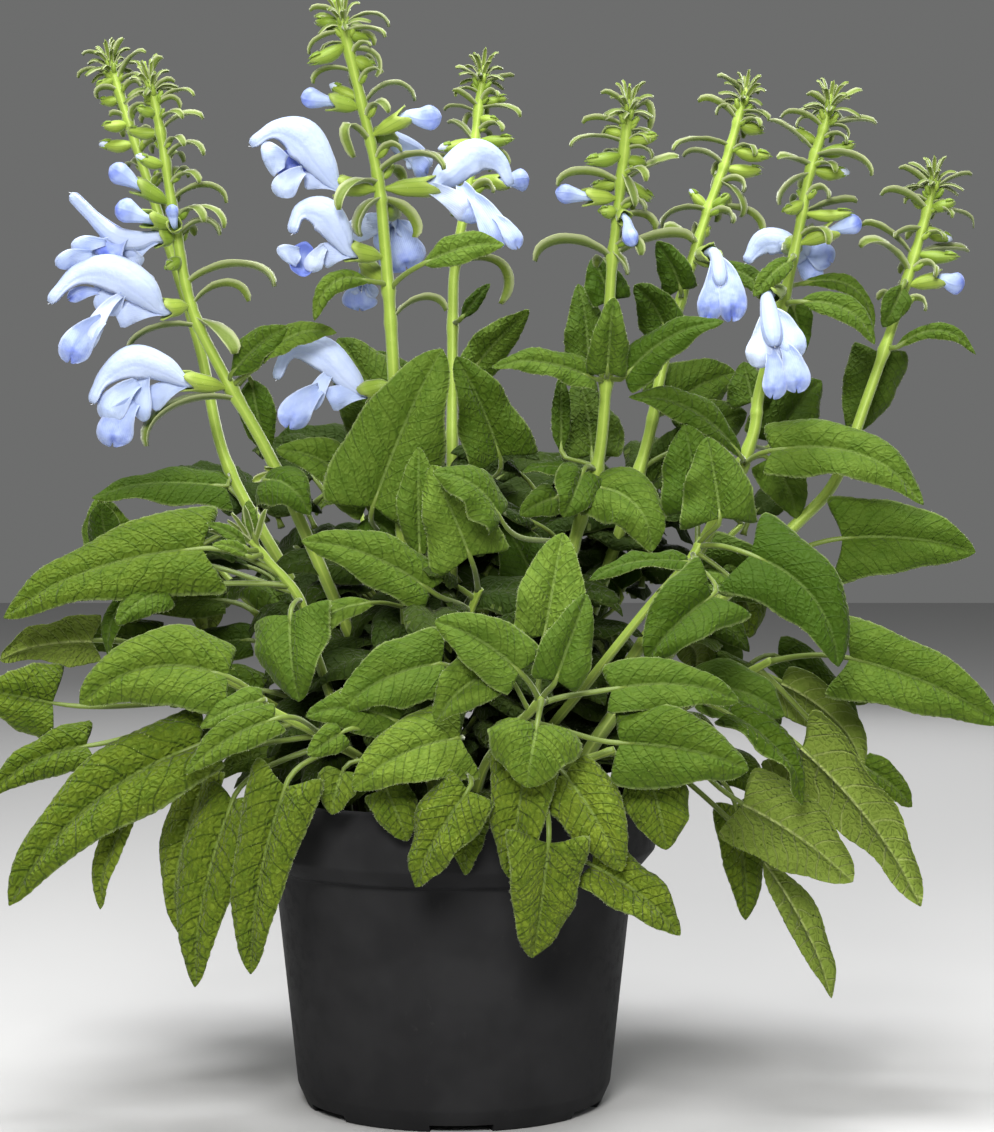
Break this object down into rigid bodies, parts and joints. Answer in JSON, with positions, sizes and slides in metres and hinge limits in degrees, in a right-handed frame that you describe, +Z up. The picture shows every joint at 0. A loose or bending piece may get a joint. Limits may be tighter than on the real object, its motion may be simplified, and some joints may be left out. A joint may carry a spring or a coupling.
{
  "type": "potted perennial salvia",
  "caption": "Clump of pale-blue-flowered perennial salvia in a round nursery pot: square stems with two-lipped flowers and buds over a mound of arrow-shaped puckered leaves.",
  "frame": {"origin": "centre of the pot's foot, on the ground it stands on", "axes": "+Z up along the pot's axis, -Y towards the side that shows in the picture, +X to that view's right"},
  "size_m": [0.4084, 0.292, 0.4582],
  "materials": {
    "pot_plastic": "satin black, faintly grained",
    "compost": "rough moist peat crumbs",
    "foliage": "matt, softly hairy",
    "petal": "satin",
    "bud": "satin"
  },
  "bodies": {
    "root": {"pot": "pot_plastic", "compost": "compost", "stem_1": "foliage", "stem_2": "foliage", "stem_3": "foliage", "stem_4": "foliage", "stem_5": "foliage", "stem_6": "foliage", "stem_7": "foliage", "stem_8": "foliage", "shoot_a": "foliage", "shoot_b": "foliage", "shoot_c": "foliage", "shoot_d": "foliage", "shoot_e": "foliage", "shoot_f": "foliage", "shoot_g": "foliage", "shoot_h": "foliage", "shoot_i": "foliage", "shoot_j": "foliage", "shoot_k": "foliage", "shoot_l": "foliage", "shoot_m": "foliage", "shoot_n": "foliage", "bloom_1": "petal", "bloom_2": "petal", "bloom_3": "petal", "bloom_4": "petal", "bloom_5": "petal", "bloom_6": "petal", "bloom_7": "petal", "bloom_8": "petal", "bloom_9": "petal", "bloom_10": "petal", "bloom_11": "petal", "bloom_12": "petal", "bloom_13": "petal", "bud_1": "bud", "bud_2": "bud", "bud_3": "bud", "bud_4": "bud", "bud_5": "bud", "bud_6": "bud", "bud_7": "bud", "bud_8": "bud", "bud_9": "bud", "bud_10": "bud"}
  },
  "joints": []
}
